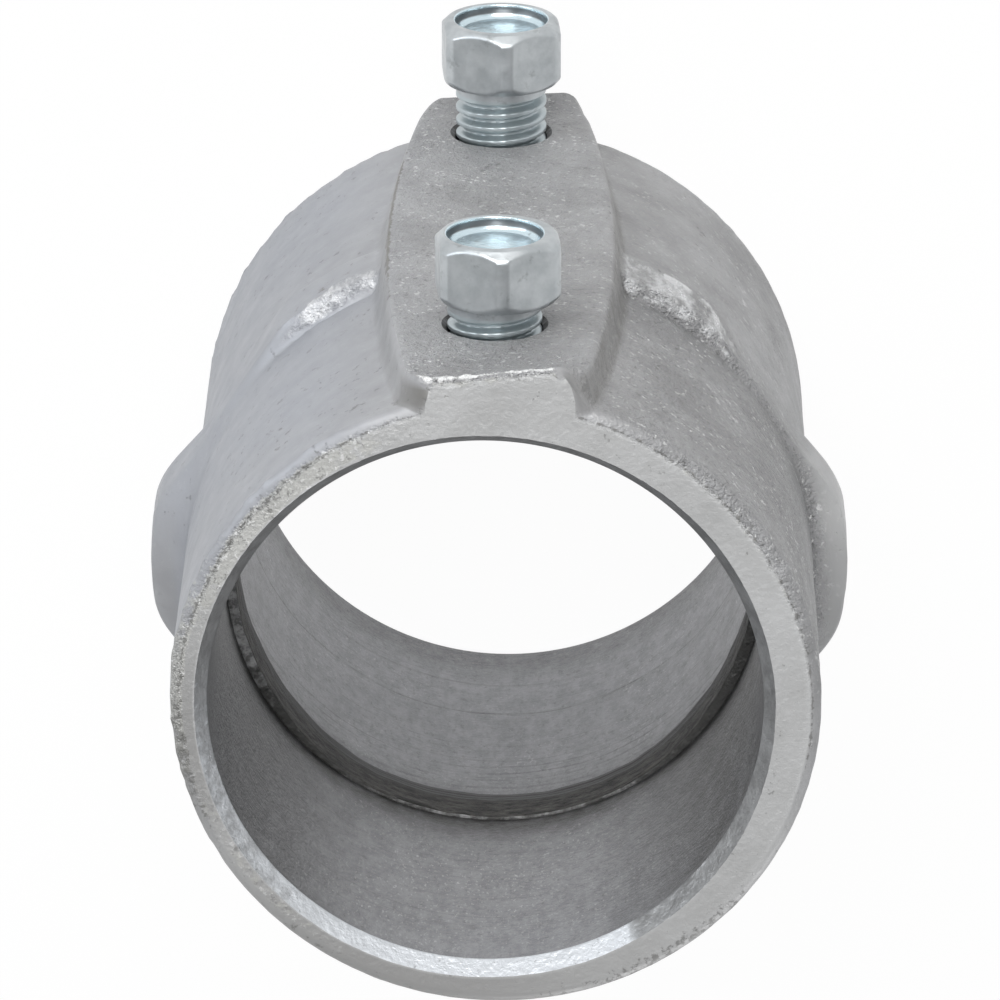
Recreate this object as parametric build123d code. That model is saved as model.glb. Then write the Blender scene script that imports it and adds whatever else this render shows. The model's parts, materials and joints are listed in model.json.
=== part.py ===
"""Set-screw coupling that joins two lengths of rigid metal conduit end to end.

Units are millimetres. The coupling stands on its rear end, with +Z along its bore towards the front mouth.
The origin is on the bore's axis, halfway along the stop that the two conduits butt against. The screws stand
out towards -Y. "Depth" is a distance from the front face, measured into the bore.
"""
from build123d import *
import os
from math import cos, radians, tan

# Conduit and bore
conduit_diameter = 73.0
socket_clearance = 0.6
stop_overlap = 0.4
front_socket_depth = 52.0
stop_length = 8.0
rear_socket_depth = 58.0
mouth_bevel_width = 1.6
mouth_bevel_depth = 2.6

# Casting, whose outside lies a little off the machined bore
wall = 5.9
wall_draft = 0.4
front_offset = (-1.5, -0.75)
rear_offset = (0.2, 0.2)
rim_rounding = 1.5

# Hexagonal wrench collar round the middle, with its flats a little over the round body and its corners blunt,
# most of all the two beside the boss
collar_rise = 1.2
collar_length = 12.0
collar_middle_depth = 59.0
collar_offset = 0.2
collar_corner_rounding = 21.0
collar_boss_corner_rounding = 37.0
collar_edge_rounding = 2.0

# Boss for the screws: flat on top, bowed in plan, with sloping sides
boss_rise = 3.5
boss_front_width = 23.2
boss_middle_width = 31.0
boss_rear_width = 21.4
boss_side_slope = 12.0
boss_front_left_rounding = 3.0
boss_front_right_rounding = 1.0
boss_rear_left_rounding = 2.5
boss_rear_right_rounding = 1.2
boss_edge_rounding = 0.6

# Tapped holes, each drilled a little to one side of the bore's axis
front_hole_offset = -0.8
rear_hole_offset = 0.35
front_hole_depth = 22.5
rear_hole_from_end = 15.2
thread_clearance = 0.05
countersink_diameter = 14.3

# Screws, alike but for how far each is wound in and how its head is turned
thread_diameter = 12.7
tip_gap_to_bore = 0.5
tip_chamfer = 1.2
head_across_flats = 15.9
head_height = 8.9
head_chamfer = 0.9
head_foot_chamfer = 1.2
recess_diameter = 12.4
recess_floor_diameter = 10.2
recess_depth = 2.2
front_head_lift = 3.9
rear_head_lift = 7.8
front_head_turn = 8.5
rear_head_turn = 6.5

# Worked out from the sizes above
body_length = front_socket_depth + stop_length + rear_socket_depth
front_z = front_socket_depth + stop_length / 2
rear_z = front_z - body_length
bore_radius = conduit_diameter / 2 + socket_clearance
stop_radius = conduit_diameter / 2 - stop_overlap
mouth_radius = bore_radius + mouth_bevel_width
body_radius = bore_radius + wall
boss_top = body_radius + boss_rise
hole_radius = thread_diameter / 2 + thread_clearance
shank_length = boss_top + front_head_lift - bore_radius - tip_gap_to_bore
screw_x = {"front": front_hole_offset, "rear": rear_hole_offset}
screw_z = {"front": front_z - front_hole_depth, "rear": rear_z + rear_hole_from_end}


def casting_centre(depth):
    """X and Y of the casting's own axis at a depth, on the line between its two ends."""
    share = depth / body_length
    return tuple(a + (b - a) * share for a, b in zip(front_offset, rear_offset))


def casting_axis():
    """The casting's own axis, as a plane across it at the rear end."""
    start = Vector(*rear_offset, rear_z)
    along = (Vector(*front_offset, front_z) - start).normalized()
    return Plane(origin=start, x_dir=(1, 0, 0), z_dir=along)


def barrel():
    """The round body about the casting's axis, cut square to the bore at both ends, with its rims rounded.

    Its wall is thicker by the draft at the front end and thinner by it at the rear end.
    """
    spare = wall
    draft_beyond = wall_draft * (1 + 2 * spare / body_length)
    long_barrel = casting_axis() * Pos(0, 0, -spare) * Cone(
        body_radius - draft_beyond, body_radius + draft_beyond, body_length + 2 * spare,
        align=(Align.CENTER, Align.CENTER, Align.MIN))
    reach = 4 * body_radius
    solid = long_barrel & Pos(0, 0, (front_z + rear_z) / 2) * Box(reach, reach, body_length)
    rims = [end.outer_wire().edges()[0] for end in solid.faces().filter_by(Axis.Z)]
    return fillet(rims, rim_rounding)


def collar():
    """The hexagonal wrench collar beside the casting's axis, with all its corners and edges rounded."""
    hexagon = RegularPolygon(body_radius + collar_rise, 6, major_radius=False)
    plan = fillet(hexagon.vertices().sort_by(Axis.Y)[2:], collar_corner_rounding)
    plan = fillet(plan.vertices().sort_by(Axis.Y)[:2], collar_boss_corner_rounding)
    prism = extrude(plan, collar_length)
    rims = [edge for end in prism.faces().filter_by(Axis.Z) for edge in end.outer_wire().edges()]
    foot = body_length - collar_middle_depth - collar_length / 2
    return casting_axis() * Pos(collar_offset, 0, foot) * fillet(rims, collar_edge_rounding)


def boss_plan(height):
    """The boss's bowed outline at a height over the bore's axis. Its sides spread as they go down.

    Left and right are as seen from in front of the mouth with the screws up, so that left is +X.
    """
    spread = (boss_top - height) * tan(radians(boss_side_slope))
    level = Plane(origin=(0, -height, front_z), x_dir=(1, 0, 0), z_dir=(0, 1, 0))
    stations = ((0, boss_front_width), (body_length / 2, boss_middle_width), (body_length, boss_rear_width))
    right = [(casting_centre(depth)[0] - width / 2 - spread, depth) for depth, width in stations]
    left = [(casting_centre(depth)[0] + width / 2 + spread, depth) for depth, width in stations]
    outline = (ThreePointArc(*right) + Line(right[-1], left[-1]) + ThreePointArc(*reversed(left))
               + Line(left[0], right[0]))
    plan = make_face(outline)
    corners = ((left[0], boss_front_left_rounding), (right[0], boss_front_right_rounding),
               (left[-1], boss_rear_left_rounding), (right[-1], boss_rear_right_rounding))
    for corner, rounding in corners:
        plan = fillet(plan.vertices().sort_by_distance((*corner, 0))[0], rounding)
    return level * plan


def boss():
    """The boss with its flat top, its sloping sides run down into the barrel's wall and its top edge rounded."""
    foot = (body_radius ** 2 - (boss_middle_width / 2) ** 2) ** 0.5 - wall / 2
    solid = loft([boss_plan(boss_top), boss_plan(foot)], ruled=True)
    top_face = solid.faces().sort_by(Axis.Y)[0]
    return fillet(top_face.outer_wire().edges(), boss_edge_rounding)


def bore():
    """The two sockets, the narrower stop between them and a bevel at each mouth, as one turned cut."""
    stop = stop_length / 2
    profile = Polyline(
        (0, rear_z), (mouth_radius, rear_z), (bore_radius, rear_z + mouth_bevel_depth), (bore_radius, -stop),
        (stop_radius, -stop), (stop_radius, stop), (bore_radius, stop), (bore_radius, front_z - mouth_bevel_depth),
        (mouth_radius, front_z), (0, front_z), (0, rear_z))
    return revolve(Plane.XZ * make_face(profile), Axis.Z)


def screw_place(end, height):
    """Where a screw's own +Z axis points out of the boss, with its zero at a height over the bore's axis."""
    return Pos(screw_x[end], -height, screw_z[end]) * Rot(90, 0, 0)


def tapped_hole(end):
    """A hole through the boss and wall at the thread's outside, with a countersink at its mouth."""
    drill = Pos(0, 0, -boss_top) * Cylinder(hole_radius, boss_top, align=(Align.CENTER, Align.CENTER, Align.MIN))
    sink = countersink_diameter / 2 - hole_radius
    mouth = Cone(hole_radius, countersink_diameter / 2, sink, align=(Align.CENTER, Align.CENTER, Align.MAX))
    return screw_place(end, boss_top) * (drill + mouth)


def coupling_body():
    """One casting: barrel, collar and boss, with the bore and the two tapped holes cut from it."""
    solid = barrel() + collar() + boss() - bore()
    for end in ("front", "rear"):
        solid = solid - tapped_hole(end)
    return solid


def set_screw(end, lift, turn):
    """A hexagon-head set screw with a dished top, its head's underside at a lift over the boss."""
    corner = head_across_flats / 2 / cos(radians(30))
    flat = head_across_flats / 2
    hexagon = Rot(0, 0, 30 + turn) * RegularPolygon(flat, 6, major_radius=False)
    sides = Polyline(
        (0, 0), (flat, 0), (corner, head_foot_chamfer),
        (corner, head_height - head_chamfer), (flat - head_chamfer / 2, head_height), (0, head_height), (0, 0))
    head = extrude(hexagon, head_height) & revolve(Plane.XZ * make_face(sides), Axis.Z)
    dish = Cone(recess_floor_diameter / 2, recess_diameter / 2, recess_depth,
                align=(Align.CENTER, Align.CENTER, Align.MAX))
    shank = Cylinder(thread_diameter / 2, shank_length, align=(Align.CENTER, Align.CENTER, Align.MAX))
    shank = chamfer(shank.edges().sort_by(Axis.Z)[0], tip_chamfer)
    return screw_place(end, boss_top + lift) * (head - Pos(0, 0, head_height) * dish + shank)


os.makedirs("parts", exist_ok=True)
pieces = {
    "coupling_body": coupling_body(),
    "front_set_screw": set_screw("front", front_head_lift, front_head_turn),
    "rear_set_screw": set_screw("rear", rear_head_lift, rear_head_turn),
}
for name, piece in pieces.items():
    export_step(piece, f"parts/{name}.step")
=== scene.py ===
import json
import bpy
import numpy as np
from mathutils import Matrix, Vector


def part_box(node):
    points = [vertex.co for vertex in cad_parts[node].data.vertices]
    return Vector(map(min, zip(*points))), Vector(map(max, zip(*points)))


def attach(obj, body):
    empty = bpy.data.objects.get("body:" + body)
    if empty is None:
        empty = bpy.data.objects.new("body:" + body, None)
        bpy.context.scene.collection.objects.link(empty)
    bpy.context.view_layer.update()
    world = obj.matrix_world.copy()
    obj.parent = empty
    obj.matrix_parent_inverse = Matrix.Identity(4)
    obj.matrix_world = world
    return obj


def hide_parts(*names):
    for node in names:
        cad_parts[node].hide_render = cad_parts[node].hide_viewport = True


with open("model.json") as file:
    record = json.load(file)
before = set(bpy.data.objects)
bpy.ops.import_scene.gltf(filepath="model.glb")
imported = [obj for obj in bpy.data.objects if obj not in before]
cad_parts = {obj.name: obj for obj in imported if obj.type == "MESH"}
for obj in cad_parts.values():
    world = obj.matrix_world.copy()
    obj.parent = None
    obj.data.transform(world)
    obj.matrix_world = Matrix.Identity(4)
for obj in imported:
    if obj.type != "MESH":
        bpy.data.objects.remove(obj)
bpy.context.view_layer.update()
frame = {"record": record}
print("frame loaded")

# lengths are in millimetres unless a line says otherwise, and mm brings them to metres
mm = 0.001
mounts = {mount["name"]: mount for mount in frame["record"]["mounts"]}
lowBody, highBody = [np.array(corner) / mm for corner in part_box("coupling_body")]
frontZ = highBody[2]
bodyLength = highBody[2] - lowBody[2]
bossTop = -lowBody[1]
boreRadius = mounts["front_socket"]["dims"]["r_mm"]
stopLength = mounts["stop_bore"]["dims"]["length_mm"]
frontSocket = frontZ - stopLength / 2  # depth at which the front socket ends and the stop begins


def placeInFrame(right, up, depth):
    # from a point as seen in the front mouth: right, up towards the screws, depth behind the face
    return np.stack([-right, -up, frontZ - depth], -1) * mm


def smooth(value, low, high):
    # 0 below low, 1 above high and 3t^2 - 2t^3 between
    t = np.clip((value - low) / (high - low), 0, 1)
    return t * t * (3 - 2 * t)


def hill(value, middle, width):
    return np.exp(-((value - middle) / width) ** 2)


def latticeNoise(points, size, seed):
    # value noise, -1 to 1: random numbers on a cubic lattice that repeats, blended between the
    # corners of each cell with 3t^2 - 2t^3 weights
    repeat = 32
    table = np.random.default_rng(seed).random((repeat, repeat, repeat)) * 2 - 1
    scaled = np.asarray(points) / size
    cell = np.floor(scaled).astype(int)
    t = smooth(scaled - cell, 0, 1)
    total = np.zeros(scaled.shape[:-1])
    for corner in np.ndindex(2, 2, 2):
        weight = np.prod(np.where(corner, t, 1 - t), axis=-1)
        index = (cell + corner) % repeat
        total += weight * table[index[..., 0], index[..., 1], index[..., 2]]
    return total


def softMin(a, b, blend):
    # the lower of two values, with the corner between them rounded over a band of width blend
    h = np.maximum(blend - np.abs(a - b), 0) / blend
    return np.minimum(a, b) - h * h * blend / 4


def softMax(a, b, blend):
    return -softMin(-a, -b, blend)


def spread(start, end, step):
    # evenly spaced values from start to end, end included, about step apart
    return np.linspace(start, end, max(2, int(round(abs(end - start) / step)) + 1))


def strips(first, second):
    # four-cornered faces between two rows of corners, or two stacks of rows, closed round the axis
    return np.stack([first, np.roll(first, -1, axis=1), np.roll(second, -1, axis=1), second], -1)


def addObject(name, data):
    holder = bpy.data.objects.new(name, data)
    bpy.context.scene.collection.objects.link(holder)
    return holder


def makeMesh(name, vertices, faces, marks, slots=None):
    # one closed mesh from arrays of corners and of faces; marks are numbers kept at each corner
    mesh = bpy.data.meshes.new(name)
    mesh.from_pydata(vertices, [], faces)
    mesh.polygons.foreach_set("use_smooth", np.ones(len(faces), dtype=bool))
    if slots is not None:
        mesh.polygons.foreach_set("material_index", slots)
    for mark, values in marks.items():
        data = mesh.attributes.new(mark, "FLOAT", "POINT").data
        data.foreach_set("value", values.astype(np.float32))
    mesh.validate()
    mesh.set_sharp_from_angle(angle=np.radians(32))
    return addObject(name, mesh)


casting = {
    "frontRadius": 43.3,
    "rearRadius": 42.5,
    "frontOffset": (1.5, 0.75),  # of the casting's axis from the bore's at the front face
    "rearOffset": (-0.2, -0.2),  # and at the rear face
    "bossWidths": (23.2, 31.0, 21.4),  # of its flat top in front, in the middle and at the rear
    "bossLeftCorners": (3.0, 2.5),  # rounding of its corners at the front and at the rear
    "bossRightCorners": (1.7, 1.2),
    "bossSideSlope": np.radians(12.0),
    "bossReach": 0.35,  # cosine of the bearing beyond which there is no boss
    "bossEdgeRound": 0.9,  # at the front and on the left
    "bossRightEdgeRound": 1.1,  # more, along its right side
    "bossRearEdgeRound": 3.2,  # more, over its last 9 mm
    # how much its ends are raised, how much more at the right, where across it that starts and
    # ends, and how far it reaches along it
    "bossFrontRaise": (0.2, 1.5, -7, 10, 3.5),
    "bossRearRaise": (0.3, 0.85, -8, 8, 3.0),
    "bossCut": (0.834, 0.551, 34.86),  # plane over its front right corner: right, up, distance
    "bossFootRound": (0.8, 1.3),  # at the front end, and from 12 mm behind it
    "collarMiddle": 59.0,
    "collarShift": -0.2,  # collar's middle from the casting's axis
    "collarHalf": 5.6,  # from its middle to halfway up its slope
    "collarSlope": 1.6,  # how far along the barrel its slope takes to rise
    "collarMoreSlope": ((7.0, -76, 28), (3.5, 66, 20)),  # more in front: by, bearing, reach
    "collarCrest": 47.95,
    "collarBossCrest": 45.3,  # its crest at the two corners beside the boss
    "collarFlat": 43.25,
    "collarFoot": 40.0,  # under the skin, where its slopes start
    "collarFootRound": 0.7,
    "rimRound": (1.5, 1.4),  # across the wall and along the barrel
    "rimRoundUpper": 0.6,  # more, across the wall, on both sides of the boss
    "bevelWidth": 1.6,
    "bevelDepth": 2.6,
    "stopStep": (0.5, 0.95),  # the stop's height at the bottom, and more at its sides
    "stopNoise": 0.1,
    "lump": 0.07,  # rise and fall of the cast skin
    "grit": 0.05,  # and of its coarse places
    "knob": 0.22,  # and of the collar's crest
    "pit": 0.3,  # depth of the pits along the rims and the collar's creases
    "seed": 11,
}

holes = {
    "frontDepth": 22.5,
    "rearDepth": bodyLength - 15.2,
    "radius": 6.5,
    "sinkRadius": 7.15,
    "threadPitch": 1.954,
    "threadGroove": 0.3,
    "rings": 44,  # rows of corners down the hole's wall
    "ringStep": 6.0,  # how fast the rows of cells round an opening spread
    "blockColumns": 10,  # cells from the middle of the opening to its edge, each way
    "blockRows": 7,
    "windowColumns": 19,  # and to where the grid is regular again
    "windowRows": 12,
    "skinStep": 0.85,
    "boreStep": 1.0,
}

grid = {
    "halfFlat": 22,  # columns from the middle of the boss's top to its edge
    "side": 10,  # down its side
    "round": 286,  # and round the rest
    "skinStep": 1.25,  # from row to row on the outside
    "collarStep": 0.32,  # on the collar's slopes
    "boreStep": 1.6,
    "edge": 0.15,  # from a sharp edge in the bore to the next row
    "rimRows": 7,
    "faceRows": 5,
    "bevelShares": (0.0, 0.07, 0.3, 0.6, 0.93, 1.0),
    "stopShares": (1.0, 0.97, 0.9, 0.75, 0.6, 0.45, 0.3, 0.16, 0.08, 0.035),
}
# the casting's materials in the order of their slots
bands = ("skin", "face", "bevel", "frontBore", "stop", "shoulder", "rearBore")


def castingCentre(depth):
    # the casting's axis at a depth: right and up on the line between its two ends
    share = depth / bodyLength
    return [a + (b - a) * share for a, b in zip(casting["frontOffset"], casting["rearOffset"])]


def bossEdges(depth):
    # half widths of the boss's flat top left and right of the bore's axis: a parabola through
    # front, middle and rear, less a quarter circle at each corner
    share = depth / bodyLength
    front, middle, rear = [width / 2 for width in casting["bossWidths"]]
    half = (front * (1 - share) * (1 - 2 * share) + 4 * middle * share * (1 - share)
            - rear * share * (1 - 2 * share))
    edges = []
    for (front, rear), sign in ((casting["bossLeftCorners"], -1), (casting["bossRightCorners"], 1)):
        edge = half + sign * castingCentre(depth)[0]
        for corner, into in ((front, front - depth), (rear, depth - (bodyLength - rear))):
            edge = edge - corner + np.sqrt(corner ** 2 - np.clip(into, 0, corner) ** 2)
        edges.append(edge)
    return edges


def collarRise(angle, depth):
    # 1 on the wrench collar and 0 off it, with a sine slope at each side, longer in front of its
    # left and right corners; and how much longer
    turn = np.degrees(np.arctan2(np.sin(angle), np.cos(angle)))
    more = sum(extra * hill(turn, at, reach) for extra, at, reach in casting["collarMoreSlope"])
    more = more * (depth < casting["collarMiddle"])
    off = np.abs(depth - casting["collarMiddle"]) - casting["collarHalf"] - 0.3 * more
    slope = np.clip(off / (casting["collarSlope"] + more), -0.5, 0.5)
    return 0.5 - 0.5 * np.sin(np.pi * slope), more


def outsideRadius(angle, depth):
    # distance from the bore's axis to the skin along a ray at an angle from the boss's middle: a
    # circle off its centre, joined to a collar with six blunt corners and to the boss
    ux, uy = np.sin(angle), np.cos(angle)
    cx, cy = castingCentre(depth)
    along = cx * ux + cy * uy
    size = (casting["frontRadius"]
            + (casting["rearRadius"] - casting["frontRadius"]) * depth / bodyLength)
    barrel = along + np.sqrt(size ** 2 - cx ** 2 - cy ** 2 + along ** 2)
    fromCorner = np.abs(np.degrees(angle) % 60 - 30)
    turn = np.abs(np.degrees(np.arctan2(ux, uy)))
    crest = casting["collarCrest"] + (casting["collarBossCrest"] - casting["collarCrest"]) * (
        1 - smooth(turn, 52, 66))
    corner = 1 - smooth(fromCorner, 7, 29 - 3 * (ux < 0) + 1.5 * (turn < 60))
    hexagon = casting["collarFlat"] + (crest - casting["collarFlat"]) * corner
    hexagon = hexagon + (cx + casting["collarShift"]) * ux + cy * uy
    rise, moreSlope = collarRise(angle, depth)
    collar = casting["collarFoot"] + (hexagon - casting["collarFoot"]) * rise
    skin = softMax(barrel, collar, casting["collarFootRound"] + 0.45 * moreSlope)
    left, right = bossEdges(depth)
    lean = np.tan(casting["bossSideSlope"])
    middle = bossTop * ux / np.maximum(uy, 0.3)
    raised = 0
    for fromEnd, key in ((depth, "bossFrontRaise"), (bodyLength - depth, "bossRearRaise")):
        whole, more, low, high, reach = casting[key]
        raised = raised + (whole + more * smooth(middle, low, high)) * hill(fromEnd, 0, reach)
    top = (bossTop + raised) / np.maximum(uy, 0.3)
    rightSide = (right + bossTop * lean) / np.maximum(ux + lean * uy, 0.05)
    leftSide = (left + bossTop * lean) / np.maximum(-ux + lean * uy, 0.05)
    sides = softMin(rightSide, leftSide, 0.5)
    toRight, toTop, away = casting["bossCut"]
    cut = (away + 4 * smooth(depth, 0.5, 5)) / np.maximum(toRight * ux + toTop * uy, 0.05)
    sides = softMin(sides, cut, 0.4)
    edgeRound = (casting["bossEdgeRound"]
                 + casting["bossRightEdgeRound"] * (ux > 0) * smooth(depth, 2, 10)
                 + casting["bossRearEdgeRound"] * smooth(depth, bodyLength - 9, bodyLength))
    upper = uy > casting["bossReach"]
    boss = np.where(upper, softMin(top, sides, edgeRound), 0)
    frontRound, restRound = casting["bossFootRound"]
    footRound = frontRound + (restRound - frontRound) * smooth(depth, 0, 12)
    radius = softMax(skin, boss, footRound * (1 - 0.9 * smooth(sides - top, 0, 2)))
    marks = {
        "bossCrease": upper * np.maximum(
            hill(skin, boss, 0.9), (boss > skin) * smooth(top - sides, 0.3, 1.2)),
        "collarCrease": hill(barrel, collar, 0.8) * (rise < 0.98) * (rise > 0.02)
        * smooth(hexagon - barrel, 0.3, 1.5) * (skin > boss),
        "slope": smooth(collar - barrel, 0.0, 0.5) * smooth(skin - boss, 0.1, 0.8)
        * smooth(0.96 - rise, 0, 0.2),
        "crest": smooth(collar - barrel, 0.3, 3.0) * smooth(skin - boss, 0.3, 1.5),
        "bossTop": smooth(sides - top, 0.2, 1.0) * (boss > skin + 0.5),
        "bossSide": smooth(top - sides, 0.3, 1.2) * (boss > skin) * upper,
        "bossLeftEdge": hill(top, sides, 1.1) * (boss > skin + 0.3) * (ux < 0)
        * smooth(depth, 8, 55) * (1 - smooth(depth, 84, 104)),
    }
    return radius, marks


def columnAngles(depth):
    # the angle of every column of corners at each depth: columns follow the boss's edges and its
    # foot, and the rest share what is left of the circle
    size, inside = casting["rearRadius"], 0.8
    lean = np.tan(casting["bossSideSlope"])
    parts = []
    for half in bossEdges(depth):
        foot = half + 1.0
        for _ in range(4):
            foot = half + (bossTop - np.sqrt(size ** 2 - foot ** 2)) * lean
        edge = np.arctan2(half - inside, bossTop)
        end = np.arctan2(foot, np.sqrt(size ** 2 - foot ** 2)) + 1.4 / size
        across = (half - inside) * np.linspace(0, 1, grid["halfFlat"] + 1)[None, :]
        slope = edge + (end - edge) * np.linspace(0, 1, grid["side"] + 1)[None, 1:]
        parts.append((np.arctan2(across, bossTop), slope, end))
    (flatL, slopeL, endL), (flatR, slopeR, endR) = parts
    rest = 2 * np.pi - endL - endR
    around = endR + rest * np.linspace(0, 1, grid["round"] + 1)[None, 1:-1]
    return np.concatenate([flatR, slopeR, around, 2 * np.pi - slopeL[:, ::-1],
                           2 * np.pi - flatL[:, :0:-1]], axis=1)


def rowDepths(start, end, step, finer=()):
    # depths along the body, about step apart, and closer in each (low, high, step) of finer
    marks = [start] + [edge for low, high, _ in finer for edge in (low, high)] + [end]
    pieces = []
    for index, (a, b) in enumerate(zip(marks[:-1], marks[1:])):
        pace = finer[(index - 1) // 2][2] if index % 2 else step
        pieces.append(spread(a, b, pace)[:-1])
    return np.concatenate(pieces + [[end]])


def holeWindow(centre, rowStep):
    reach = holes["windowRows"] * rowStep
    return centre - reach, centre + reach, rowStep


def castingRows():
    # the rows of corners along the outside, round the rear rim, back through the bore and round
    # the front rim: (band after it, depth its columns are spaced for, its own depth, shape, value)
    middle, half, slope = casting["collarMiddle"], casting["collarHalf"], casting["collarSlope"]
    rimDepth, bevelEnd, edge = casting["rimRound"][1], casting["bevelDepth"], grid["edge"]
    skinStep, boreStep = holes["skinStep"], holes["boreStep"]
    outside = rowDepths(rimDepth, bodyLength - rimDepth, grid["skinStep"], (
        holeWindow(holes["frontDepth"], skinStep),
        (middle - half - slope, middle - half + slope, grid["collarStep"]),
        (middle + half - slope, middle + half + slope, grid["collarStep"]),
        holeWindow(holes["rearDepth"], skinStep)))
    stopEnd = frontSocket + stopLength
    frontBore = rowDepths(bevelEnd + edge, frontSocket - edge, grid["boreStep"], (
        holeWindow(holes["frontDepth"], boreStep),
        (frontSocket - 3, frontSocket - edge - 0.1, 0.5)))
    rearBore = rowDepths(stopEnd + edge, bodyLength - bevelEnd - edge, grid["boreStep"], (
        (stopEnd + edge + 0.1, stopEnd + 4, 0.7), holeWindow(holes["rearDepth"], boreStep)))
    width = casting["bevelWidth"]
    mouth = boreRadius + width
    turns = np.linspace(0, np.pi / 2, grid["rimRows"] + 1)[1:]
    rimRows = [(rimDepth * (1 - np.sin(turn)), 1 - np.cos(turn)) for turn in turns]
    shares = np.linspace(0, 1, grid["faceRows"] + 2)[1:-1]

    def straight(band, depths, shape, value):  # rows that each lie at one depth
        return [(band, depth, depth, shape, value) for depth in depths]

    rows = straight("skin", outside, "skin", 0)
    for depth, share in rimRows:
        band = "face" if depth == rimRows[-1][0] else "skin"
        rows += straight(band, [bodyLength - depth], "rim", share)
    for share in shares:
        rows += straight("face", [bodyLength], "face", share)
    rows += [("rearBore" if share == 1 else "bevel", bodyLength, bodyLength - bevelEnd * share,
              "mouth", mouth - width * share) for share in grid["bevelShares"]]
    starts = {"outside": 0, "rearBore": len(rows)}
    rows += straight("rearBore", rearBore[::-1], "fixed", boreRadius)
    rows += straight("stop", [stopEnd], "fixed", boreRadius)
    rows += straight("stop", frontSocket + stopLength * np.array(grid["stopShares"]), "ring", 0.0)
    rows += [("shoulder", frontSocket, frontSocket + 0.07, "ring", 0.07),
             ("shoulder", frontSocket, frontSocket, "ring", 0.22)]
    rows += straight("frontBore", [frontSocket], "fixed", boreRadius)
    starts["frontBore"] = len(rows)
    rows += straight("frontBore", frontBore[::-1], "fixed", boreRadius)
    rows += [("face" if share == 0 else "bevel", 0.0, bevelEnd * share, "mouth",
              mouth - width * share) for share in grid["bevelShares"][::-1]]
    for share in shares[::-1]:
        rows += straight("face", [0.0], "face", share)
    for depth, share in rimRows[::-1]:
        rows += straight("skin", [depth], "rim", share)
    return rows, starts, {"outside": outside, "frontBore": frontBore, "rearBore": rearBore}


def holeBlocks(angles, depths, starts, depthLists):
    # openings: cells of a block are drawn out to a circle, and corners round it ease back to
    # their own places
    columnCount = angles.shape[1]
    halfRound = columnCount // 2
    fromMiddle = (np.arange(columnCount) + halfRound) % columnCount - halfRound
    picked = np.where(np.abs(fromMiddle) <= holes["windowColumns"])[0]
    picked = picked[np.argsort(fromMiddle[picked])]
    rowSpan = np.arange(-holes["windowRows"], holes["windowRows"] + 1)
    a = (fromMiddle[picked] / holes["blockColumns"])[None, :]
    b = (rowSpan / holes["blockRows"])[:, None]
    level = np.maximum(np.abs(a), np.abs(b))
    away = np.maximum(np.hypot(a, b), 1e-9)
    limit = min(holes["windowColumns"] / holes["blockColumns"],
                holes["windowRows"] / holes["blockRows"])
    ease = smooth(level, 1, limit)
    blocks = []
    for screw, centre, boreName in (("front_set_screw", holes["frontDepth"], "frontBore"),
                                    ("rear_set_screw", holes["rearDepth"], "rearBore")):
        low, high = [np.array(corner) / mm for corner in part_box(screw)]
        beside = -(low[0] + high[0]) / 2
        for isOuter in (True, False):
            name = "outside" if isOuter else boreName
            nearest = int(np.argmin(np.abs(depthLists[name] - centre)))
            last = len(depthLists[name]) - 1
            middleRow = nearest if isOuter else starts[name] + last - nearest
            ordered = middleRow + (rowSpan if isOuter else -rowSpan)
            circle = holes["sinkRadius"] if isOuter else holes["radius"]
            window = np.ix_(ordered, picked)
            here = angles[window]
            right = bossTop * np.tan(here) if isOuter else boreRadius * np.sin(here)
            ringRadius = circle + (level - 1) * holes["ringStep"]
            right = (beside + a / away * ringRadius) * (1 - ease) + right * ease
            deep = b / away * ringRadius * (1 - ease) + (depths[window] - centre) * ease
            angles[window] = (np.arctan2(right, bossTop) if isOuter
                              else np.arcsin(np.clip(right / boreRadius, -1, 1)))
            depths[window] = centre + deep
            blocks.append(((centre, beside), isOuter,
                           ordered[np.abs(rowSpan) <= holes["blockRows"]],
                           picked[np.abs(fromMiddle[picked]) <= holes["blockColumns"]]))
    return blocks


# bearings in degrees from the boss's middle, positive to the right, where the rims, the collar or
# the stop differ, and how far that reaches to each side
around = {
    "brokenLeft": (-46, 26),
    "brokenSide": (-90, 26),
    "brokenRight": (45, 34),
    "rounderRim": (50, 28),  # the same on both sides
    "coarseRim": (50, 30),
    "pitsLowRight": (146, 32),
    "pitsLowLeft": (-150, 30),
    "pitsLeft": (-100, 24),
    "pitsInside": (104, 26),
    "greyLeft": (-128, 26),
    "dullLow": (-160, 52),
    "dullLeft": (-98, 28),
    "evenCorner": (90, 32),  # of the collar, on the right
    "paleCorner": (88, 24),
    "paleLine": (81, 4),
    "greyCorner": (-96, 16),  # of the collar, on the left
    "stopLip": (-98, 19),
}


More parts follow.
